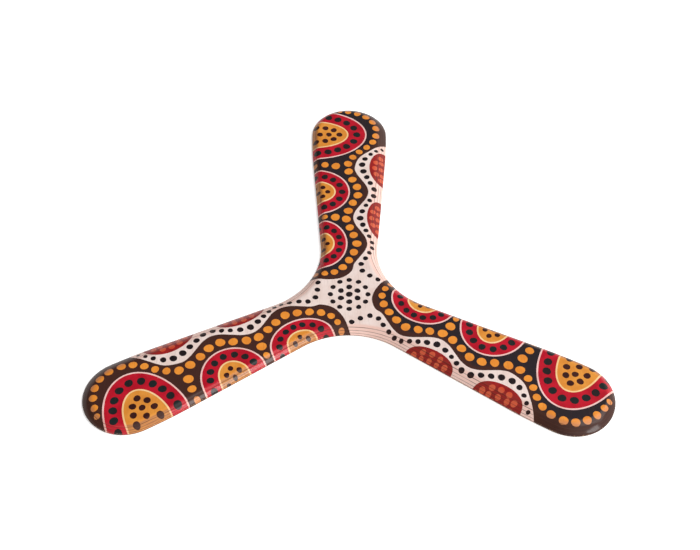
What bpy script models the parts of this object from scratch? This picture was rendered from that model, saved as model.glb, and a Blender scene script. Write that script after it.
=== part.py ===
"""Three-bladed returning boomerang, lying flat with its underside on Z = 0.

The blank is birch plywood: five veneers bonded by four thin resin films, all cut to one plan
outline of three round-ended blades 120 degrees apart joined by hollow curves. Shaping the
blades pares every layer back by its height: a short blunt bevel runs along each leading edge
and a longer, thinner one along each trailing edge, so every resin film shows as a dark line
around the rim. Seen from above the leading edge is the one that faces anticlockwise.
"""
import math

import bmesh
import bpy
from mathutils import Matrix, Vector

# Plan outline, metres and radians
BLADE_COUNT = 3
BLADE_REACH = 0.165
TIP_RADIUS = 0.0245
SHOULDER_RADIUS = 0.320
FLANK_TAPER = math.radians(4.75)
CROTCH_RADIUS = 0.046
FIRST_BLADE_ANGLE = math.radians(90.0)

# Plywood lay-up, metres
BOARD_THICKNESS = 0.005
VENEER_COUNT = 5
FILM_THICKNESS = 0.00008
LAYER_GAP = 0.00001

# Edge shaping, metres: bevel width and height of the blunt edge below the bevel
LEADING_BEVEL = 0.0050
TRAILING_BEVEL = 0.0090
LEADING_EDGE_HEIGHT = 0.0016
TRAILING_EDGE_HEIGHT = 0.0010
UNDERSIDE_ROUND = 0.0007

# Outline points on each arc or straight of half a blade
CROTCH_STEPS = 14
FLANK_STEPS = 6
SHOULDER_STEPS = 4
TIP_STEPS = 14

# Rings from the bottom of a layer to its top
BACK_RINGS = 5
INNER_RINGS = 3
FACE_RINGS = 7
FILM_RINGS = 2

WOOD_NAMES = ("back_veneer", "lower_cross_veneer", "core_veneer", "upper_cross_veneer", "face_veneer")
FILM_NAMES = ("back_glue_film", "lower_core_glue_film", "upper_core_glue_film", "face_glue_film")
LONG_GRAIN_BIRCH = (0.62, 0.44, 0.25)
CROSS_GRAIN_BIRCH = (0.50, 0.33, 0.17)
PAINTED_FACE = (0.52, 0.04, 0.05)
RESIN_BROWN = (0.035, 0.013, 0.007)


class RimPoint:
    """A point on the plan outline, its inward normal and how far it belongs to a leading edge."""

    def __init__(self, place, inward, lead):
        self.place = place
        self.inward = inward
        self.lead = lead

    def turned(self, angle):
        spin = Matrix.Rotation(angle, 2)
        return RimPoint(spin @ self.place, spin @ self.inward, self.lead)


def arc_points(centre, radius, start, end, steps, hollow, lead_start, lead_end):
    """Rim points along an arc, without its last one; hollow arcs curve round the outside."""
    points = []
    side = 1.0 if hollow else -1.0
    for step in range(steps):
        share = step / steps
        angle = start + (end - start) * share
        ray = Vector((math.cos(angle), math.sin(angle)))
        ease = share * share * (3.0 - 2.0 * share)
        lead = lead_start + (lead_end - lead_start) * ease
        points.append(RimPoint(centre + ray * radius, ray * side, lead))
    return points


def straight_points(start, end, inward, steps, lead):
    """Rim points along a straight, without its last one."""
    return [RimPoint(start.lerp(end, step / steps), inward.copy(), lead) for step in range(steps)]


def blade_outline():
    """Rim points of one blade lying along +X, from its trailing crotch round to its leading one."""
    tip_centre = Vector((BLADE_REACH - TIP_RADIUS, 0.0))
    outward = Vector((-math.sin(FLANK_TAPER), math.cos(FLANK_TAPER)))
    shoulder_centre = tip_centre + Vector((0.0, TIP_RADIUS - SHOULDER_RADIUS))
    shoulder = shoulder_centre + outward * SHOULDER_RADIUS

    half_pitch = math.pi / BLADE_COUNT
    bisector = Vector((math.cos(half_pitch), math.sin(half_pitch)))
    crotch_distance = (CROTCH_RADIUS + outward.dot(shoulder)) / outward.dot(bisector)
    crotch_centre = bisector * crotch_distance
    root = crotch_centre - outward * CROTCH_RADIUS

    def mirrored(point):
        return Vector((point.x, -point.y))

    quarter = math.pi / 2.0
    crotch_deepest = -math.pi + half_pitch
    crotch_root = -quarter + FLANK_TAPER
    points = arc_points(mirrored(crotch_centre), CROTCH_RADIUS, -crotch_deepest, -crotch_root,
                        CROTCH_STEPS, True, 0.5, 0.0)
    points += straight_points(mirrored(root), mirrored(shoulder), mirrored(-outward), FLANK_STEPS, 0.0)
    points += arc_points(mirrored(shoulder_centre), SHOULDER_RADIUS, -quarter - FLANK_TAPER, -quarter,
                         SHOULDER_STEPS, False, 0.0, 0.0)
    points += arc_points(tip_centre, TIP_RADIUS, -quarter, quarter, 2 * TIP_STEPS, False, 0.0, 1.0)
    points += arc_points(shoulder_centre, SHOULDER_RADIUS, quarter, quarter + FLANK_TAPER,
                         SHOULDER_STEPS, False, 1.0, 1.0)
    points += straight_points(shoulder, root, -outward, FLANK_STEPS, 1.0)
    points += arc_points(crotch_centre, CROTCH_RADIUS, crotch_root, crotch_deepest,
                         CROTCH_STEPS, True, 1.0, 0.5)
    return points


def boomerang_outline():
    """Rim points of the whole plan outline, anticlockwise."""
    blade = blade_outline()
    pitch = 2.0 * math.pi / BLADE_COUNT
    points = []
    for number in range(BLADE_COUNT):
        angle = FIRST_BLADE_ANGLE + number * pitch
        points += [point.turned(angle) for point in blade]
    return points


def rim_inset(height, lead):
    """Distance the rim is pared back at a height above the underside."""
    if height < UNDERSIDE_ROUND:
        rise = UNDERSIDE_ROUND - height
        return UNDERSIDE_ROUND - math.sqrt(UNDERSIDE_ROUND ** 2 - rise ** 2)
    edge = TRAILING_EDGE_HEIGHT + (LEADING_EDGE_HEIGHT - TRAILING_EDGE_HEIGHT) * lead
    if height <= edge:
        return 0.0
    bevel = TRAILING_BEVEL + (LEADING_BEVEL - TRAILING_BEVEL) * lead
    climb = min(1.0, (height - edge) / (BOARD_THICKNESS - edge))
    return bevel * (1.0 - math.sqrt(1.0 - climb))


def lofted_layer(name, outline, heights, collection, material):
    """One closed layer of the board, lofted through the rim at each height and capped flat."""
    mesh = bpy.data.meshes.new(name)
    shape = bmesh.new()
    rings = []
    for height in heights:
        ring = []
        for point in outline:
            place = point.place + point.inward * rim_inset(height, point.lead)
            ring.append(shape.verts.new((place.x, place.y, height)))
        rings.append(ring)
    count = len(outline)
    for lower, upper in zip(rings, rings[1:]):
        for here in range(count):
            after = (here + 1) % count
            shape.faces.new((lower[here], lower[after], upper[after], upper[here]))
    caps = [shape.faces.new(reversed(rings[0])), shape.faces.new(rings[-1])]
    shape.normal_update()
    bmesh.ops.triangulate(shape, faces=caps)
    for face in shape.faces:
        face.smooth = True
    shape.to_mesh(mesh)
    shape.free()
    mesh.set_sharp_from_angle(angle=math.radians(30.0))
    mesh.materials.append(material)
    layer = bpy.data.objects.new(name, mesh)
    collection.objects.link(layer)
    return layer


def even_heights(bottom, top, rings):
    """Ring heights spread evenly through a layer."""
    return [bottom + (top - bottom) * ring / (rings - 1) for ring in range(rings)]


def rounded_heights(bottom, top, rings):
    """Ring heights crowded toward the top, where the bevel rolls over into the flat face."""
    heights = []
    for ring in range(rings):
        remaining = 1.0 - ring / (rings - 1)
        heights.append(top - (top - bottom) * remaining ** 2)
    return heights


def back_heights(bottom, top, rings):
    """Ring heights round the softened lower edge, then up to the top of the back veneer."""
    heights = []
    for ring in range(rings - 1):
        swing = math.pi / 2.0 * ring / (rings - 2)
        heights.append(bottom + UNDERSIDE_ROUND * (1.0 - math.cos(swing)))
    heights.append(top)
    return heights


def layer_material(name, colour, roughness):
    """Plain surface of one layer, non-metallic."""
    material = bpy.data.materials.new(name + "_surface")
    material.use_nodes = True
    shader = material.node_tree.nodes["Principled BSDF"]
    shader.inputs["Base Color"].default_value = (*colour, 1.0)
    shader.inputs["Roughness"].default_value = roughness
    shader.inputs["Metallic"].default_value = 0.0
    material.diffuse_color = (*colour, 1.0)
    return material


def clear_scene():
    """Empty the scene before the boomerang is built."""
    for thing in list(bpy.data.objects):
        bpy.data.objects.remove(thing, do_unlink=True)


def build_boomerang():
    """Stack the veneers and the resin films from the underside to the face."""
    clear_scene()
    collection = bpy.data.collections.new("boomerang")
    bpy.context.scene.collection.children.link(collection)
    outline = boomerang_outline()
    film_count = VENEER_COUNT - 1
    veneer = (BOARD_THICKNESS - film_count * (FILM_THICKNESS + 2.0 * LAYER_GAP)) / VENEER_COUNT
    bottom = 0.0
    for number, name in enumerate(WOOD_NAMES):
        top = bottom + veneer
        if number == 0:
            heights = back_heights(bottom, top, BACK_RINGS)
        elif number == film_count:
            heights = rounded_heights(bottom, BOARD_THICKNESS, FACE_RINGS)
        else:
            heights = even_heights(bottom, top, INNER_RINGS)
        colour = CROSS_GRAIN_BIRCH if number % 2 else LONG_GRAIN_BIRCH
        if number == film_count:
            colour = PAINTED_FACE
        lofted_layer(name, outline, heights, collection, layer_material(name, colour, 0.45))
        bottom = top + LAYER_GAP
        if number < film_count:
            film = FILM_NAMES[number]
            heights = even_heights(bottom, bottom + FILM_THICKNESS, FILM_RINGS)
            lofted_layer(film, outline, heights, collection, layer_material(film, RESIN_BROWN, 0.3))
            bottom += FILM_THICKNESS + LAYER_GAP


build_boomerang()
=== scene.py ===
"""Looks for the three-bladed boomerang: a painted and varnished plywood blank on a pale studio floor.

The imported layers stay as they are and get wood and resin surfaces. One new piece, the paint coat,
lies over the face, the bevels and the rim. Its mesh is cut along the edges of the painted design,
a generic one of waves, arches and dots, so that every colour in it is a material of its own.
Azimuths are measured round the hub from the camera's side, 90 degrees being the right.
"""
import math

import bpy
import numpy as np
from mathutils import Euler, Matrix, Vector
from mathutils.geometry import delaunay_2d_cdt
from mathutils.kdtree import KDTree


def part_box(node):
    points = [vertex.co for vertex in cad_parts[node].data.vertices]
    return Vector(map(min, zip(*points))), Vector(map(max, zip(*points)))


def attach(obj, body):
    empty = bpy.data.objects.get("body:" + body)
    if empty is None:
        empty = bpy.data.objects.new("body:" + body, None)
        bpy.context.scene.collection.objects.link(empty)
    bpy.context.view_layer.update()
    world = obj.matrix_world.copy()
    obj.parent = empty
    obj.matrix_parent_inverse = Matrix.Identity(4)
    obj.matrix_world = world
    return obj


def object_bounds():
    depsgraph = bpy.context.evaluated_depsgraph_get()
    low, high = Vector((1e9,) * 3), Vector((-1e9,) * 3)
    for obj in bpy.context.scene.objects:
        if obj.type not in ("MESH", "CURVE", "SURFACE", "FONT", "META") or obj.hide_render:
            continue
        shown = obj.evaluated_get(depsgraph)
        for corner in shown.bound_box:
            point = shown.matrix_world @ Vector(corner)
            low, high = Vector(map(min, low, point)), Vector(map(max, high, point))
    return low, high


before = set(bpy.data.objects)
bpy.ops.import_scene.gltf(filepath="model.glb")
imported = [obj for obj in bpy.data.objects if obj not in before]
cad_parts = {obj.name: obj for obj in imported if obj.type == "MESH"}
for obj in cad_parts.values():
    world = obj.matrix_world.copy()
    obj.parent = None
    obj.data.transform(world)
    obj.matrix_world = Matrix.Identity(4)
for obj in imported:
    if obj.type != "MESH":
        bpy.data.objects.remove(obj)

MM = 0.001

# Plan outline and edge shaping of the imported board, millimetres and radians
BLADE_COUNT = 3
TIP_RADIUS = 24.5
SHOULDER_RADIUS = 320.0
FLANK_TAPER = math.radians(4.75)
CROTCH_RADIUS = 46.0
FLANK_ROOT = 13.93
FIRST_BLADE_ANGLE = math.radians(90.0)
LEADING_BEVEL = 5.0
TRAILING_BEVEL = 9.0
LEADING_EDGE_HEIGHT = 1.6
TRAILING_EDGE_HEIGHT = 1.0
UNDERSIDE_ROUND = 0.7

# Paint coat mesh, millimetres: its lift, and the spacings of its points
COAT_LIFT = 0.04
FINE_STEP = 0.35
RIM_STRIDE = 4
FACE_PITCH = 2.6
CURVE_STEP = 0.8
OUTSIDE_MARGIN = 0.6
MERGE_DISTANCE = 0.0001

# Contours of the coat: shares of the bevel's width from the rim, then for each row below the rim
# the share of the blunt edge passed and the degrees turned round the underside's edge
BEVEL_SHARES = (0.0, 0.08, 0.18, 0.3, 0.43, 0.57, 0.71, 0.85, 1.0)
SKIRT_ROWS = ((0.33, 0.0), (0.67, 0.0), (1.0, 0.0), (1.0, 28.0), (1.0, 56.0))

# Brushwork, millimetres: gap between dots in a row, point spacing round a dot, width of the pale
# outlines and how far the brown of the dark ground reaches from the cream
DOT_GAP = 1.6
DOT_STEP = 0.6
LINE_WIDTH = 0.95
WARM_REACH = 6.0

# Generic painted design on one blade, millimetres: X runs from hub to tip, Y toward the leading edge.
# The dark band's border is a regular wave whose ends run out beyond the rim.
FIRST_CREST = 18.0
WAVE_PITCH = 44.0
WAVE_COUNT = 2
WAVE_DEPTH = 4.5
WAVE_LEVEL = -5.5
WAVE_FALL = 0.025
BAND_START = ((14, 34), (12.6, 22), (11.4, 12), (13, 4))
BAND_END = ((115, -6.5), (122, -14), (128, -22), (133, -31))
BAND_REST = ((174, -32), (178, 34))

# Arches that stand on the rim: middle along the blade, half width and the Y of the peak
RED_ARCHES = ((40, 19, 1.5), (84, 19, 0), (137, 23, -11))
AMBER_ARCHES = ((40, 9, 9.3), (84, 9, 9), (137, 12.5, 1))
BRICK_ARCHES = ((62, 15, -11), (106, 15, -13))
FOOT_LENGTH = 6.0

# Paints whose arches stand on the trailing rim; the others stand on the leading one
TRAILING_PAINTS = ("brick", "coral_dot")

# Arches of dots: middle, half width, the Y of the peak and the dots' radius
DOT_ARCHES = {
    "pine_dot": ((40, 14, 5.4, 1.9), (84, 14, 4.5, 2.1), (137, 17.8, -5, 2.4)),
    "brown_dot": ((40, 4.6, 13.2, 1.4), (84, 4.8, 13.6, 1.6), (137, 7, 6.5, 2)),
    "coral_dot": ((62, 10, -13.9, 1.7), (106, 10.3, -16.5, 1.8)),
}

# Rows of dots: X, Y and radius at points along each row
DOT_ROWS = {
    "orange_dot": (
        ((16.6, 20, 1.7), (16.2, 13, 2), (18.2, 6.6, 2.3), (23, 2.4, 2.5), (29, -1, 2.5), (40, -4.7, 2.7),
         (51, -1.2, 2.5), (62, 1.9, 2.8), (73, -1.7, 2.6), (84, -6, 2.8), (95, -2, 2.6), (106, 1, 2.8),
         (113, -0.8, 2.4), (120, -6, 2.2), (126.5, -13, 2.3), (133, -16.8, 2.4), (141, -18, 2.5),
         (149, -16, 2.4), (155.4, -10, 2.4), (158.8, -2.5, 2.2), (160, 4.5, 1.9), (160.6, 9, 1.2)),
        ((62, 8.6, 2.8), (62.3, 15.2, 1.9)),
        ((107.3, 8.6, 2.8), (108.4, 15.6, 2.4), (108.5, 23, 1.7))),
    "black_dot": (
        ((11.5, -17, 1.6), (15.5, -11, 1.7), (21, -6.4, 1.7), (29, -10.2, 1.6), (40, -14.2, 1.4),
         (51, -10.3, 1.6), (62, -6.8, 2.1), (73, -10.8, 1.5), (84, -16.2, 1.9), (95, -12.1, 1.8),
         (106, -8.3, 2.2), (114, -10.3, 1.8), (120, -15.7, 1.4), (124.5, -21.5, 1.2)),),
    "brown_dot": (
        ((84, 19.4, 1.4),),
        ((137, 13.4, 1.9), (137, 21, 1.9))),
    "coral_dot": (
        ((57.2, -18, 1.4), (62, -17.6, 1.5), (66.8, -18, 1.4)),
        ((100.5, -21, 1.6), (106, -20.6, 1.6), (111.5, -21, 1.6))),
}

# Dots on the hub beside each blade, and the one at its middle
HUB_DOTS = ((5.6, 0, 1.8), (2.8, 4.85, 1.8), (11, 0, 1.6), (9.5, 5.5, 1.6), (5.5, 9.5, 1.6), (0, 11, 1.6))
MIDDLE_DOT = (0, 0, 2)

# Paints, in sRGB bytes: main colour, the colour it drifts toward, and its colour rubbed thin on a bevel
PAINTS = {
    "cream": ((241, 222, 215), (233, 210, 201), (234, 194, 181)),
    "dark": ((42, 35, 39), (68, 40, 34), (70, 42, 34)),
    "brick": ((160, 38, 36), (142, 28, 28), (140, 42, 38)),
    "pale_line": ((246, 206, 200), (238, 190, 182), (232, 176, 164)),
    "crimson": ((195, 26, 46), (176, 18, 38), (186, 40, 50)),
    "gold_line": ((250, 214, 160), (244, 202, 140), (226, 176, 134)),
    "amber": ((231, 153, 64), (220, 138, 54), (174, 114, 68)),
    "orange_dot": ((241, 151, 57), (229, 138, 51), (200, 130, 84)),
    "black_dot": ((34, 26, 29), (27, 22, 26), (44, 30, 30)),
    "pine_dot": ((29, 39, 40), (36, 32, 33), (40, 38, 38)),
    "brown_dot": ((68, 33, 28), (54, 26, 24), (66, 40, 33)),
    "coral_dot": ((216, 80, 50), (204, 68, 42), (200, 92, 64)),
}

# Paints that get the strongest painted highlight: pale lines beside the resin films that stand in for
# glints off the ridges
STRONG_GLINT_PAINTS = ("crimson", "amber")

# Wood and resin seen through the paint or bare, a painted highlight for the ridges and a painted shade low
# on the rim, in sRGB bytes
GRAIN_BROWN = (90, 60, 48)
RIDGE_PAINTED_HIGHLIGHT = (222, 186, 164)
RIM_PAINTED_SHADE = (78, 48, 36)
PLY_LINE = (66, 40, 32)
BARE_WOOD = (206, 172, 128)
BIRCH_PALE = (226, 196, 150)
BIRCH_TAN = (202, 165, 116)
BIRCH_PORE = (140, 100, 62)
RESIN_BROWN = (58, 32, 20)
RESIN_DARK = (34, 18, 12)

# Camera: metres and radians, as the photograph was taken
CAMERA_ELEVATION = math.radians(49.47)
CAMERA_AZIMUTH = math.radians(-0.52)
CAMERA_ROLL = math.radians(0.65)
CAMERA_LENS = 60.09
CAMERA_SENSOR = 36.0
CAMERA_AIM = Vector((0.0005, 0.0183, 0.0010))
CAMERA_DISTANCE = 0.6992

# Floor, metres
FLOOR_REACH = 5.0
FLOOR_LEVEL = -0.00005

FILM_NAMES = ("back_glue_film", "lower_core_glue_film", "upper_core_glue_film", "face_glue_film")
LONG_GRAIN_NAMES = ("back_veneer", "core_veneer", "face_veneer")
CROSS_GRAIN_NAMES = ("lower_cross_veneer", "upper_cross_veneer")


def turned(places, angle):
    """Plan places turned anticlockwise about the hub."""
    cosine, sine = math.cos(angle), math.sin(angle)
    return np.column_stack((places[:, 0] * cosine - places[:, 1] * sine,
                            places[:, 0] * sine + places[:, 1] * cosine))


def unit(vectors):
    """The same directions with length 1."""
    return vectors / np.linalg.norm(vectors, axis=1)[:, None]


def blade_angles():
    """Directions of the blades, one after another round the hub."""
    return [FIRST_BLADE_ANGLE + number * 2.0 * math.pi / BLADE_COUNT for number in range(BLADE_COUNT)]


# ---------------------------------------------------------------- the shape of the board

def rim_arc(centre, radius, start, end, hollow, lead_start, lead_end):
    """Rim samples along an arc: place, inward normal and how far they belong to a leading edge."""
    count = round(abs(end - start) * radius / FINE_STEP)
    share = (np.arange(count) / count)[:, None]
    angle = start + (end - start) * share
    ray = np.hstack((np.cos(angle), np.sin(angle)))
    lead = lead_start + (lead_end - lead_start) * share * share * (3.0 - 2.0 * share)
    return np.hstack((centre + ray * radius, ray if hollow else -ray, lead))


def rim_straight(start, end, inward, lead):
    """Rim samples along a straight."""
    count = round(float(np.linalg.norm(end - start)) / FINE_STEP)
    share = (np.arange(count) / count)[:, None]
    ones = np.ones((count, 1))
    return np.hstack((start + (end - start) * share, ones * inward, ones * lead))


def blade_rim(reach):
    """Rim samples of one blade lying along +X, from its trailing crotch round to its leading one."""
    tip_centre = np.array((reach - TIP_RADIUS, 0.0))
    outward = np.array((-math.sin(FLANK_TAPER), math.cos(FLANK_TAPER)))
    shoulder_centre = tip_centre + (0.0, TIP_RADIUS - SHOULDER_RADIUS)
    shoulder = shoulder_centre + outward * SHOULDER_RADIUS
    half_pitch = math.pi / BLADE_COUNT
    bisector = np.array((math.cos(half_pitch), math.sin(half_pitch)))
    crotch_centre = bisector * (CROTCH_RADIUS + outward @ shoulder) / (outward @ bisector)
    root = crotch_centre - outward * CROTCH_RADIUS

    flip = np.array((1.0, -1.0))
    quarter = math.pi / 2.0
    deepest = -math.pi + half_pitch
    crotch_root = -quarter + FLANK_TAPER
    return np.vstack((
        rim_arc(crotch_centre * flip, CROTCH_RADIUS, -deepest, -crotch_root, True, 0.5, 0.0),
        rim_straight(root * flip, shoulder * flip, -outward * flip, 0.0),
        rim_arc(shoulder_centre * flip, SHOULDER_RADIUS, -quarter - FLANK_TAPER, -quarter, False, 0.0, 0.0),
        rim_arc(tip_centre, TIP_RADIUS, -quarter, quarter, False, 0.0, 1.0),
        rim_arc(shoulder_centre, SHOULDER_RADIUS, quarter, quarter + FLANK_TAPER, False, 1.0, 1.0),
        rim_straight(shoulder, root, -outward, 1.0),
        rim_arc(crotch_centre, CROTCH_RADIUS, crotch_root, deepest, True, 1.0, 0.5)))


class Board:
    """The shaped top of the blank: its rim, and the height and slope above any plan place."""

    def __init__(self, reach, thickness):
        self.thickness = thickness
        blade = blade_rim(reach)
        self.rim = np.vstack([np.hstack((turned(blade[:, 0:2], angle), turned(blade[:, 2:4], angle),
                                         blade[:, 4:5])) for angle in blade_angles()])
        self.tree = KDTree(len(self.rim))
        for index, sample in enumerate(self.rim):
            self.tree.insert((sample[0], sample[1], 0.0), index)
        self.tree.balance()

    def nearest(self, places):
        """Rim sample nearest to each place, and how far inside the rim the place is."""
        near = [self.tree.find((x, y, 0.0))[1] for x, y in places]
        sample = self.rim[near]
        inset = np.sum((places - sample[:, 0:2]) * sample[:, 2:4], axis=1)
        return sample, inset

    def edge_height(self, sample):
        """Height at which the blunt rim turns into the bevel."""
        return TRAILING_EDGE_HEIGHT + (LEADING_EDGE_HEIGHT - TRAILING_EDGE_HEIGHT) * sample[:, 4]

    def bevel_width(self, sample):
        """Plan distance from the rim to the flat face."""
        return TRAILING_BEVEL + (LEADING_BEVEL - TRAILING_BEVEL) * sample[:, 4]

    def surface(self, places):
        """Height and normal of the shaped top at each place, and the rim sample nearest to it."""
        sample, inset = self.nearest(places)
        edge = self.edge_height(sample)
        bevel = self.bevel_width(sample)
        remaining = 1.0 - np.clip(inset / bevel, 0.0, 1.0)
        drop = self.thickness - edge
        height = self.thickness - drop * remaining ** 2
        slope = 2.0 * drop / bevel * remaining
        normal = unit(np.column_stack((-sample[:, 2:4] * slope[:, None], np.ones(len(places)))))
        return height, normal, sample

    def contour(self, share):
        """Closed line on the bevel, at a share of its width from the rim to the flat face."""
        sample = self.rim[::RIM_STRIDE]
        return sample[:, 0:2] + sample[:, 2:4] * (self.bevel_width(sample) * share)[:, None]


# ---------------------------------------------------------------- the painted design

def smooth_curve(points):
    """Evenly stepped curve through the points, in as many columns as they have."""
    knots = np.array(points, float)
    padded = np.vstack((2.0 * knots[0] - knots[1], knots, 2.0 * knots[-1] - knots[-2]))
    pieces = []
    for before, start, end, after in zip(padded, padded[1:], padded[2:], padded[3:]):
        steps = max(2, round(float(np.linalg.norm((end - start)[0:2])) / CURVE_STEP))
        share = (np.arange(steps) / steps)[:, None]
        pieces.append(0.5 * (2.0 * start + (end - before) * share
                             + (2.0 * before - 5.0 * start + 4.0 * end - after) * share ** 2
                             + (3.0 * start - before - 3.0 * end + after) * share ** 3))
    return np.vstack(pieces + [knots[-1:]])


def shifted(curve, distance):
    """The curve moved sideways, to its left for a positive distance."""
    along = unit(np.gradient(curve, axis=0))
    return curve + np.column_stack((-along[:, 1], along[:, 0])) * distance


def inside(places, polygon):
    """Which places lie inside a closed polygon, by counting crossings."""
    result = np.zeros(len(places), bool)
    x, y = places[:, 0], places[:, 1]
    for (x1, y1), (x2, y2) in zip(polygon, np.roll(polygon, -1, axis=0)):
        if y1 != y2:
            crosses = (y1 > y) != (y2 > y)
            result ^= crosses & (x < x1 + (y - y1) * (x2 - x1) / (y2 - y1))
    return result


def band_edge():
    """Border of the dark band: a regular wave that sinks a little toward the tip."""
    x = FIRST_CREST + np.linspace(0.0, WAVE_COUNT, 8 * WAVE_COUNT + 1) * WAVE_PITCH
    crest = WAVE_DEPTH * np.cos((x - FIRST_CREST) * 2.0 * math.pi / WAVE_PITCH)
    wave = np.column_stack((x, WAVE_LEVEL - WAVE_FALL * x + crest))
    return smooth_curve(np.vstack((BAND_START, wave, BAND_END)))


def arch(paint, middle, half_width, peak):
    """Half ellipse standing on the rim on the paint's side, with straight feet beyond the rim."""
    side = -1 if paint in TRAILING_PAINTS else 1
    base = side * min(TIP_RADIUS, FLANK_ROOT + middle * math.tan(FLANK_TAPER))
    swing = np.linspace(math.pi, 0.0, 2 * round((half_width + abs(peak - base)) / CURVE_STEP) + 1)
    bow = np.column_stack((middle + half_width * np.cos(swing), base + (peak - base) * np.sin(swing)))
    foot = np.arange(FOOT_LENGTH, 0.0, -CURVE_STEP)[:, None] * (0.0, side)
    return np.vstack((bow[0] + foot, bow, bow[-1] + foot[::-1]))


def bands():
    """Fields of one blade in painting order: paint, edge curve and the points that close it."""
    half = 0.5 * LINE_WIDTH
    nothing = np.empty((0, 2))
    made = [("dark", band_edge(), np.array(BAND_REST, float))]
    made += [("brick", arch("brick", *place), nothing) for place in BRICK_ARCHES]
    for places, line, field in ((RED_ARCHES, "pale_line", "crimson"), (AMBER_ARCHES, "gold_line", "amber")):
        for place in places:
            curve = arch(field, *place)
            made.append((line, shifted(curve, -half), nothing))
            made.append((field, shifted(curve, half), nothing))
    return made


def dots_along(curve):
    """Dots set one gap apart along a curve, each with the radius that the curve has there."""
    dots = [curve[0]]
    for place in curve[1:]:
        apart = math.hypot(place[0] - dots[-1][0], place[1] - dots[-1][1])
        if apart >= place[2] + DOT_GAP + dots[-1][2]:
            dots.append(place)
    return dots


def dots_round(paint, middle, half_width, peak, radius):
    """Dots of one size along an arch, from its peak down both sides."""
    bow = arch(paint, middle, half_width, peak)
    curve = np.column_stack((bow, np.full(len(bow), radius)))
    top = len(curve) // 2
    return dots_along(curve[top:]) + dots_along(curve[top::-1])[1:]


def board_dots():
    """Every dot on the board: paint and closed plan outline, a little uneven as from a brush."""
    blade = [(paint, dot) for paint, rows in DOT_ROWS.items() for row in rows
             for dot in dots_along(smooth_curve(row) if len(row) > 1 else row)]
    blade += [(paint, dot) for paint, places in DOT_ARCHES.items() for place in places
              for dot in dots_round(paint, *place)]
    blade += [("black_dot", dot) for dot in HUB_DOTS]
    dots = [(paint, turned(dot_outline(*dot), angle)) for angle in blade_angles() for paint, dot in blade]
    return dots + [("black_dot", dot_outline(*MIDDLE_DOT))]


def dot_outline(x, y, radius):
    """Closed outline of one dot; its place sets which way it is uneven."""
    count = round(2.0 * math.pi * radius / DOT_STEP) + 6
    angle = np.arange(count) * 2.0 * math.pi / count
    reach = radius * (1.0 + 0.04 * np.sin(2.0 * angle + 5.0 * x) + 0.02 * np.sin(3.0 * angle + 7.0 * y))
    return np.column_stack((x + reach * np.cos(angle), y + reach * np.sin(angle)))


def paint_of(places):
    """Name of the paint at each plan place, laid on in the order that the real coats would be."""
    paint = np.full(len(places), "cream", dtype="<U12")
    for angle in blade_angles():
        local = turned(places, -angle)
        ahead = np.flatnonzero(local[:, 0] > 0.0)
        for name, curve, rest in bands():
            paint[ahead[inside(local[ahead], np.vstack((curve, rest)))]] = name
    for name, outline in board_dots():
        boxed = (places > outline.min(axis=0)) & (places < outline.max(axis=0))
        near = np.flatnonzero(np.all(boxed, axis=1))
        paint[near[inside(places[near], outline)]] = name
    return paint


def warmth_of(places):
    """How brown the dark ground is, 1 beside the cream and 0 beside the red."""
    nearest = np.full(len(places), WARM_REACH)
    edge = band_edge()[::2]
    for angle in blade_angles():
        local = turned(places, -angle)
        for x, y in edge:
            nearest = np.minimum(nearest, np.hypot(local[:, 0] - x, local[:, 1] - y))
    return 1.0 - nearest / WARM_REACH


# ---------------------------------------------------------------- the paint coat's mesh

class Cuts:
    """Points and edges that the coat's triangles must follow."""

    def __init__(self, board):
        self.board = board
        self.points = []
        self.edges = []

    def add_line(self, line, closed):
        """Add the parts of a line that lie on the board."""
        kept = self.board.nearest(line)[1] > -OUTSIDE_MARGIN
        first = len(self.points)
        self.points += [Vector(place) for place in line]
        count = len(line)
        for here in range(count if closed else count - 1):
            after = (here + 1) % count
            if kept[here] and kept[after]:
                self.edges.append((first + here, first + after))

    def add_grid(self, pitch):
        """Add loose points on the flat face, so that its triangles stay compact."""
        reach = np.abs(self.board.rim[:, 0:2]).max()
        lines = np.arange(-reach, reach, pitch)
        places = np.array([(x, y) for x in lines for y in lines])
        sample, inset = self.board.nearest(places)
        flat = inset > self.board.bevel_width(sample)
        self.points += [Vector(place) for place in places[flat]]


def coat_triangles(board):
    """Plan triangles of the coat, none of which crosses an edge between two paints."""
    cuts = Cuts(board)
    for share in BEVEL_SHARES:
        cuts.add_line(board.contour(share), True)
    for angle in blade_angles():
        for _, curve, _ in bands():
            cuts.add_line(turned(curve, angle), False)
    for _, outline in board_dots():
        cuts.add_line(outline, True)
    cuts.add_grid(FACE_PITCH)
    points, _, faces, *_ = delaunay_2d_cdt(cuts.points, cuts.edges, [], 0, MERGE_DISTANCE)
    places = np.array([tuple(point) for point in points])
    faces = np.array(faces)
    centres = places[faces].mean(axis=1)
    kept = board.nearest(centres)[1] > 0.0
    return places, faces[kept], centres[kept]


def rim_loop(faces):
    """Directed edges that only one triangle has, and the triangle of each."""
    starts = faces.ravel()
    ends = np.roll(faces, -1, axis=1).ravel()
    owner = np.repeat(np.arange(len(faces)), 3)
    both_ways = set(zip(ends.tolist(), starts.tolist()))
    alone = [place for place, edge in enumerate(zip(starts.tolist(), ends.tolist()))
             if edge not in both_ways]
    return np.column_stack((starts, ends))[alone], owner[alone]


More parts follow.
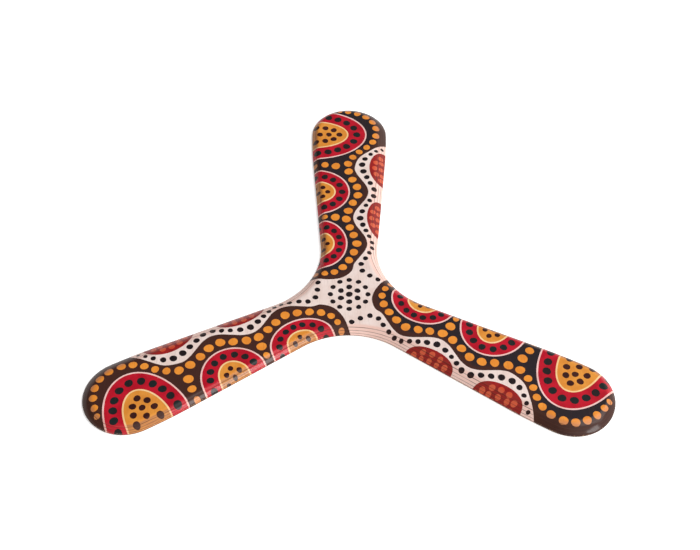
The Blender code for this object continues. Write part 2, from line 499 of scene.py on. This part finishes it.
class Skin:
    """Vertices, faces and paints of the coat, in the order that they are laid down."""

    def __init__(self):
        self.rows = []
        self.count = 0
        self.faces = []
        self.paints = []

    def add_vertices(self, places, normals, warmth, corner):
        """Add vertices, in millimetres, and return their numbers."""
        self.rows.append((places, normals, warmth, corner))
        numbers = self.count + np.arange(len(places))
        self.count += len(places)
        return numbers

    def mesh(self, name):
        """The skin as a mesh in metres, with a material for each paint."""
        places, normals, warmth, corner = (np.concatenate(parts) for parts in zip(*self.rows))
        mesh = bpy.data.meshes.new(name)
        mesh.from_pydata((places * MM).tolist(), [], self.faces)
        names = list(PAINTS)
        for paint in names:
            mesh.materials.append(paint_material(paint))
        mesh.polygons.foreach_set("material_index", [names.index(paint) for paint in self.paints])
        mesh.polygons.foreach_set("use_smooth", [True] * len(self.faces))
        mesh.attributes.new("warmth", "FLOAT", "POINT").data.foreach_set("value", warmth)
        mesh.attributes.new("corner", "FLOAT", "POINT").data.foreach_set("value", corner)
        mesh.normals_split_custom_set_from_vertices(normals.tolist())
        return mesh


def fold_skirt(skin, edges, owners, rim, places, outward, height, warmth):
    """Carry the skin from the rim down the blunt edge and round under it, each part in its paint."""
    position = {vertex: number for number, vertex in enumerate(rim.tolist())}
    above = rim
    for share, swing in SKIRT_ROWS:
        across, down = math.cos(math.radians(swing)), math.sin(math.radians(swing))
        facing = outward * across - (0.0, 0.0, down)
        level = height + (UNDERSIDE_ROUND - height) * share - UNDERSIDE_ROUND * down
        tucked = outward * UNDERSIDE_ROUND * (1.0 - across)
        row = np.column_stack((places, level)) - tucked + facing * COAT_LIFT
        below = skin.add_vertices(row, facing, warmth, np.zeros(len(rim)))
        for (start, end), owner in zip(edges.tolist(), owners.tolist()):
            first, last = position[start], position[end]
            skin.faces.append([int(above[last]), int(above[first]), int(below[first]), int(below[last])])
            skin.paints.append(skin.paints[owner])
        above = below


def build_coat(board):
    """The paint coat: a thin open skin over the face and bevels, folded down the blunt rim."""
    places, faces, centres = coat_triangles(board)
    used, faces = np.unique(faces, return_inverse=True)
    faces = faces.reshape(-1, 3)
    places = places[used]
    warmth = warmth_of(places)
    height, normal, sample = board.surface(places)
    edges, owners = rim_loop(faces)
    rim = np.unique(edges)
    outward = np.column_stack((-sample[rim, 2:4], np.zeros(len(rim))))
    normal[rim] = unit(normal[rim] + outward)
    corner = np.zeros(len(places))
    corner[rim] = 1.0

    skin = Skin()
    skin.add_vertices(np.column_stack((places, height)) + normal * COAT_LIFT, normal, warmth, corner)
    skin.faces = faces.tolist()
    skin.paints = paint_of(centres).tolist()
    fold_skirt(skin, edges, owners, rim, places[rim], outward, height[rim], warmth[rim])
    coat = bpy.data.objects.new("paint_coat", skin.mesh("paint_coat"))
    bpy.context.scene.collection.objects.link(coat)
    return coat


# ---------------------------------------------------------------- surfaces

def byte_colour(colour):
    """Linear colour of an sRGB colour given in bytes."""
    linear = [(part / 255.0 / 12.92) if part <= 10 else ((part / 255.0 + 0.055) / 1.055) ** 2.4
              for part in colour]
    return (*linear, 1.0)


class Surface:
    """A material being made, with short calls for the nodes that these surfaces share."""

    def __init__(self, name):
        self.material = bpy.data.materials.new(name)
        self.material.use_nodes = True
        self.tree = self.material.node_tree
        self.shader = self.tree.nodes["Principled BSDF"]
        place = self.tree.nodes.new("ShaderNodeTexCoord").outputs["Object"]
        self.place = self.scaled(place, (1.0 / MM,) * 3)
        self.height = self.split(self.place)[2]

    def fill(self, socket, value):
        """Give a socket a number, a colour or another node's output."""
        if isinstance(value, bpy.types.NodeSocket):
            self.tree.links.new(value, socket)
        else:
            socket.default_value = value

    def scaled(self, vector, factors):
        """A vector multiplied part by part."""
        node = self.tree.nodes.new("ShaderNodeVectorMath")
        node.operation = "MULTIPLY"
        self.fill(node.inputs[0], vector)
        self.fill(node.inputs[1], factors)
        return node.outputs[0]

    def split(self, vector):
        """The three parts of a vector."""
        node = self.tree.nodes.new("ShaderNodeSeparateXYZ")
        self.fill(node.inputs[0], vector)
        return node.outputs

    def maths(self, operation, *values):
        """A number worked out from others by a math node."""
        node = self.tree.nodes.new("ShaderNodeMath")
        node.operation = operation
        for socket, value in zip(node.inputs, values):
            self.fill(socket, value)
        return node.outputs[0]

    def attribute(self, name):
        """A number stored at the mesh's vertices."""
        node = self.tree.nodes.new("ShaderNodeAttribute")
        node.attribute_name = name
        return node.outputs["Fac"]

    def noise(self, size, detail):
        """Noise whose features have this size in millimetres along X, Y and Z."""
        node = self.tree.nodes.new("ShaderNodeTexNoise")
        self.fill(node.inputs["Vector"], self.scaled(self.place, tuple(1.0 / length for length in size)))
        self.fill(node.inputs["Scale"], 1.0)
        self.fill(node.inputs["Detail"], detail)
        return node.outputs["Fac"]

    def ramp(self, value, low, high, start=0.0, end=1.0):
        """The value eased from start to end as it goes from low to high."""
        node = self.tree.nodes.new("ShaderNodeMapRange")
        node.interpolation_type = "SMOOTHSTEP"
        for name, setting in zip(("Value", "From Min", "From Max", "To Min", "To Max"),
                                 (value, low, high, start, end)):
            self.fill(node.inputs[name], setting)
        return node.outputs[0]

    def mix(self, share, first, second):
        """A colour the given share of the way from the first to the second."""
        node = self.tree.nodes.new("ShaderNodeMix")
        node.data_type = "RGBA"
        colour_inputs = [socket for socket in node.inputs if socket.type == "RGBA"]
        self.fill(node.inputs[0], share)
        self.fill(colour_inputs[0], first)
        self.fill(colour_inputs[1], second)
        return next(socket for socket in node.outputs if socket.type == "RGBA")

    def finish(self, colour, roughness, relief, depth):
        """Connect the colour, roughness and relief; depth is the relief's height in metres."""
        bump = self.tree.nodes.new("ShaderNodeBump")
        self.fill(bump.inputs["Height"], relief)
        self.fill(bump.inputs["Distance"], depth)
        self.fill(self.shader.inputs["Base Color"], colour)
        self.fill(self.shader.inputs["Roughness"], roughness)
        self.fill(self.shader.inputs["Normal"], bump.outputs[0])
        return self.material

    def varnish(self, weight, roughness):
        """Clear coat, which takes over the shine of the surface under it."""
        self.fill(self.shader.inputs["Specular IOR Level"], 0.0)
        self.fill(self.shader.inputs["Coat Weight"], weight)
        self.fill(self.shader.inputs["Coat Roughness"], roughness)


def film_levels():
    """Height of the lowest resin film and the step up to the next, in millimetres."""
    middles = [(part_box(name)[0][2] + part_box(name)[1][2]) / 2.0 / MM for name in FILM_NAMES]
    return middles[0], (middles[-1] - middles[0]) / (len(middles) - 1)


def ply_line(surface, rise, half_height):
    """1 where a bevel is cut at this rise above a resin film, fading out above and below."""
    lowest, step = film_levels()
    lowest += rise
    above = surface.maths("SUBTRACT", surface.height, lowest)
    away = surface.maths("WRAP", above, step / 2.0, -step / 2.0)
    core = 0.3 * half_height
    line = surface.ramp(surface.maths("ABSOLUTE", away), core, half_height, 1.0, 0.0)
    highest = lowest + (len(FILM_NAMES) - 1) * step
    on_bevel = surface.maths("LESS_THAN", surface.height, highest + step / 2.0)
    return surface.maths("MULTIPLY", line, on_bevel)


def drift_share(surface, name, mottle):
    """How far a paint has drifted from its main colour; the dark ground browns toward the cream and toward
    the lower left.
    """
    if name != "dark":
        return surface.ramp(mottle, 0.35, 0.65)
    x, y, _ = surface.split(surface.place)
    # Browner toward the lower left, over the left blade.
    browner = surface.ramp(surface.maths("ADD", x, y), 20.0, -60.0)
    shade = surface.maths("ADD", surface.attribute("warmth"), browner)
    return surface.ramp(surface.maths("ADD", shade, mottle), 0.6, 1.3)


def rubbed_thin(surface, colour, thin):
    """The colour where the face is flat, and streaks of its thin version down the bevels."""
    face_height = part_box("face_veneer")[1][2] / MM
    cut = surface.ramp(surface.height, face_height - 0.03, face_height - 0.5)
    streaks = surface.ramp(surface.noise((9.0, 9.0, 0.16), 3.0), 0.35, 0.6, 0.6, 1.0)
    return surface.mix(surface.maths("MULTIPLY", cut, streaks), colour, thin)


def chipped(surface, colour):
    """The colour with bare wood in small chips along the rim's corner."""
    chips = surface.ramp(surface.noise((1.6, 1.6, 1.6), 4.0), 0.56, 0.64)
    near = surface.ramp(surface.attribute("corner"), 0.45, 0.9, 0.0, 0.55)
    return surface.mix(surface.maths("MULTIPLY", near, chips), colour, byte_colour(BARE_WOOD))


def paint_material(name):
    """Brushed paint under satin varnish, with the grain and the cut plies showing faintly through, a
    painted highlight beside the resin films and painted shade low on the rim.
    """
    main, drift, thin = (byte_colour(colour) for colour in PAINTS[name])
    surface = Surface("paint_" + name)
    mottle = surface.noise((7.0, 7.0, 7.0), 3.0)
    grain = surface.noise((0.5, 8.0, 2.0), 2.0)
    patchy = surface.ramp(mottle, 0.3, 0.6, 0.4, 0.8)

    colour = surface.mix(drift_share(surface, name, mottle), main, drift)
    colour = surface.mix(surface.ramp(grain, 0.5, 0.8, 0.0, 0.18), colour, byte_colour(GRAIN_BROWN))
    # Painted highlight: pale lines just above each resin film on the bevels stand in for glints off the
    # ridges. They are strongest on crimson and amber.
    share = surface.maths("MULTIPLY", patchy, 0.4 if name in STRONG_GLINT_PAINTS else 0.12)
    ridge_highlight = surface.maths("MULTIPLY", ply_line(surface, 0.2, 0.14), share)
    colour = surface.mix(ridge_highlight, colour, byte_colour(RIDGE_PAINTED_HIGHLIGHT))
    colour = rubbed_thin(surface, colour, thin)
    # Painted shade: dark brown low on the blunt rim, darkest toward its foot, where shade falls under the
    # edge.
    rim_shade = surface.ramp(surface.height, 1.3, 0.95, 0.0, 0.65)
    colour = surface.mix(rim_shade, colour, byte_colour(RIM_PAINTED_SHADE))
    line = surface.maths("MULTIPLY", ply_line(surface, 0.0, 0.13), patchy)
    colour = chipped(surface, surface.mix(line, colour, byte_colour(PLY_LINE)))

    surface.varnish(0.45, 0.15)
    roughness = surface.ramp(mottle, 0.3, 0.7, 0.34, 0.46)
    relief = surface.maths("SUBTRACT", grain, surface.maths("MULTIPLY", line, 0.8))
    return surface.finish(colour, roughness, relief, 0.03 * MM)


def birch_material(name, along_y):
    """Clear-varnished birch: soft figure, fine pores and a few darker streaks along the grain."""
    surface = Surface(name)

    def streaks(width, length, detail):
        size = (width, length, width) if along_y else (length, width, width)
        return surface.noise(size, detail)

    figure = streaks(9.0, 130.0, 4.0)
    pores = streaks(0.22, 3.5, 2.0)
    colour = surface.mix(surface.ramp(figure, 0.3, 0.7), byte_colour(BIRCH_PALE), byte_colour(BIRCH_TAN))
    colour = surface.mix(surface.ramp(pores, 0.56, 0.72, 0.0, 0.35), colour, byte_colour(BIRCH_PORE))
    surface.varnish(0.7, 0.25)
    return surface.finish(colour, surface.ramp(pores, 0.4, 0.7, 0.38, 0.52), pores, 0.02 * MM)


def resin_material():
    """Dark phenolic resin between the veneers."""
    surface = Surface("resin_film")
    flow = surface.noise((1.2, 1.2, 0.4), 3.0)
    colour = surface.mix(surface.ramp(flow, 0.35, 0.65), byte_colour(RESIN_BROWN), byte_colour(RESIN_DARK))
    return surface.finish(colour, surface.ramp(flow, 0.3, 0.7, 0.28, 0.4), flow, 0.01 * MM)


def paper_material():
    """Matt white paper on a light table, whose glow keeps shadows off it."""
    surface = Surface("studio_paper")
    tooth = surface.noise((0.8, 0.8, 0.8), 2.0)
    colour = surface.mix(surface.ramp(tooth, 0.3, 0.7), (0.95, 0.95, 0.95, 1.0), (0.97, 0.97, 0.97, 1.0))
    surface.fill(surface.shader.inputs["Emission Color"], (1.0, 1.0, 1.0, 1.0))
    surface.fill(surface.shader.inputs["Emission Strength"], 0.5)
    return surface.finish(colour, 0.9, tooth, 0.02 * MM)


def dress_layers():
    """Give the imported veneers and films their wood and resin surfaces."""
    long_grain = birch_material("birch_long_grain", True)
    cross_grain = birch_material("birch_cross_grain", False)
    resin = resin_material()
    for names, material in ((LONG_GRAIN_NAMES, long_grain), (CROSS_GRAIN_NAMES, cross_grain),
                            (FILM_NAMES, resin)):
        for name in names:
            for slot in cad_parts[name].material_slots:
                slot.material = material


# ---------------------------------------------------------------- studio

def build_floor():
    """A wide sheet of paper just under the boomerang."""
    mesh = bpy.data.meshes.new("floor")
    corners = [(x * FLOOR_REACH, y * FLOOR_REACH, FLOOR_LEVEL)
               for x, y in ((-1, -1), (1, -1), (1, 1), (-1, 1))]
    mesh.from_pydata(corners, [], [range(len(corners))])
    mesh.materials.append(paper_material())
    floor = bpy.data.objects.new("floor", mesh)
    bpy.context.scene.collection.objects.link(floor)


def add_softbox(name, azimuth, elevation, distance, size, power):
    """Square soft light aimed at the hub; angles in degrees, lengths in metres, power in watts."""
    light = bpy.data.lights.new(name, "AREA")
    light.size = size
    light.energy = power
    lamp = bpy.data.objects.new(name, light)
    turn, rise = math.radians(azimuth), math.radians(elevation)
    back = Vector((math.sin(turn) * math.cos(rise), -math.cos(turn) * math.cos(rise), math.sin(rise)))
    lamp.location = back * distance
    lamp.rotation_euler = back.to_track_quat("Z", "Y").to_euler()
    bpy.context.scene.collection.objects.link(lamp)


def light_studio():
    """Plain soft light: a large box on the right, a smaller one at the front right that the bevels
    catch, and a surround that is pale at the horizon and on the right, and dark on the left and
    where the flat face would mirror it to the camera."""
    add_softbox("main", azimuth=100.0, elevation=56.0, distance=2.2, size=1.5, power=19.0)
    add_softbox("key", azimuth=54.0, elevation=29.0, distance=2.0, size=0.72, power=14.0)
    world = bpy.data.worlds.new("studio")
    world.use_nodes = True
    tree = world.node_tree
    direction = tree.nodes.new("ShaderNodeTexCoord").outputs["Generated"]

    def fade(toward, low, high, start, end):
        """Strength eased from start to end as directions turn toward this one."""
        facing = tree.nodes.new("ShaderNodeVectorMath")
        facing.operation = "DOT_PRODUCT"
        tree.links.new(direction, facing.inputs[0])
        facing.inputs[1].default_value = toward
        easing = tree.nodes.new("ShaderNodeMapRange")
        easing.interpolation_type = "SMOOTHSTEP"
        tree.links.new(facing.outputs["Value"], easing.inputs["Value"])
        for name, value in (("From Min", low), ("From Max", high), ("To Min", start), ("To Max", end)):
            easing.inputs[name].default_value = value
        return easing.outputs[0]

    def combine(operation, first, second):
        """A number worked out from two others."""
        node = tree.nodes.new("ShaderNodeMath")
        node.operation = operation
        tree.links.new(first, node.inputs[0])
        tree.links.new(second, node.inputs[1])
        return node.outputs[0]

    mirror = (0.0, math.cos(CAMERA_ELEVATION), math.sin(CAMERA_ELEVATION))
    sides = fade((1.0, 0.0, 0.0), -0.45, 0.5, 0.08, 1.15)
    horizon = fade((0.0, 0.0, 1.0), 0.2, 0.32, 1.0, 0.0)
    mirrored = fade(mirror, 0.78, 0.94, 1.0, 0.35)
    strength = combine("MULTIPLY", combine("MAXIMUM", sides, horizon), mirrored)
    tree.links.new(strength, tree.nodes["Background"].inputs["Strength"])
    tree.nodes["Background"].inputs["Color"].default_value = (1.0, 1.0, 1.0, 1.0)
    bpy.context.scene.world = world
    bpy.context.scene.view_settings.view_transform = "Standard"


def place_camera():
    """Camera where the photograph was taken from: front, high, looking down on the face."""
    data = bpy.data.cameras.new("camera")
    data.lens = CAMERA_LENS
    data.sensor_width = CAMERA_SENSOR
    camera = bpy.data.objects.new("camera", data)
    level = math.cos(CAMERA_ELEVATION)
    back = Vector((math.sin(CAMERA_AZIMUTH) * level, -math.cos(CAMERA_AZIMUTH) * level,
                   math.sin(CAMERA_ELEVATION)))
    camera.location = CAMERA_AIM + back * CAMERA_DISTANCE
    heading = Euler((math.pi / 2.0 - CAMERA_ELEVATION, 0.0, CAMERA_AZIMUTH)).to_quaternion()
    roll = Euler((0.0, 0.0, CAMERA_ROLL)).to_quaternion()
    camera.rotation_euler = (heading @ roll).to_euler()
    bpy.context.scene.collection.objects.link(camera)
    bpy.context.scene.camera = camera


def build_scene():
    """Camera, light and floor first, then the layers' surfaces and the paint coat."""
    cad_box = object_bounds()
    place_camera()
    light_studio()
    build_floor()
    dress_layers()
    board = Board(cad_box[1][1] / MM, cad_box[1][2] / MM)
    coat = build_coat(board)
    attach(coat, "root")


build_scene()
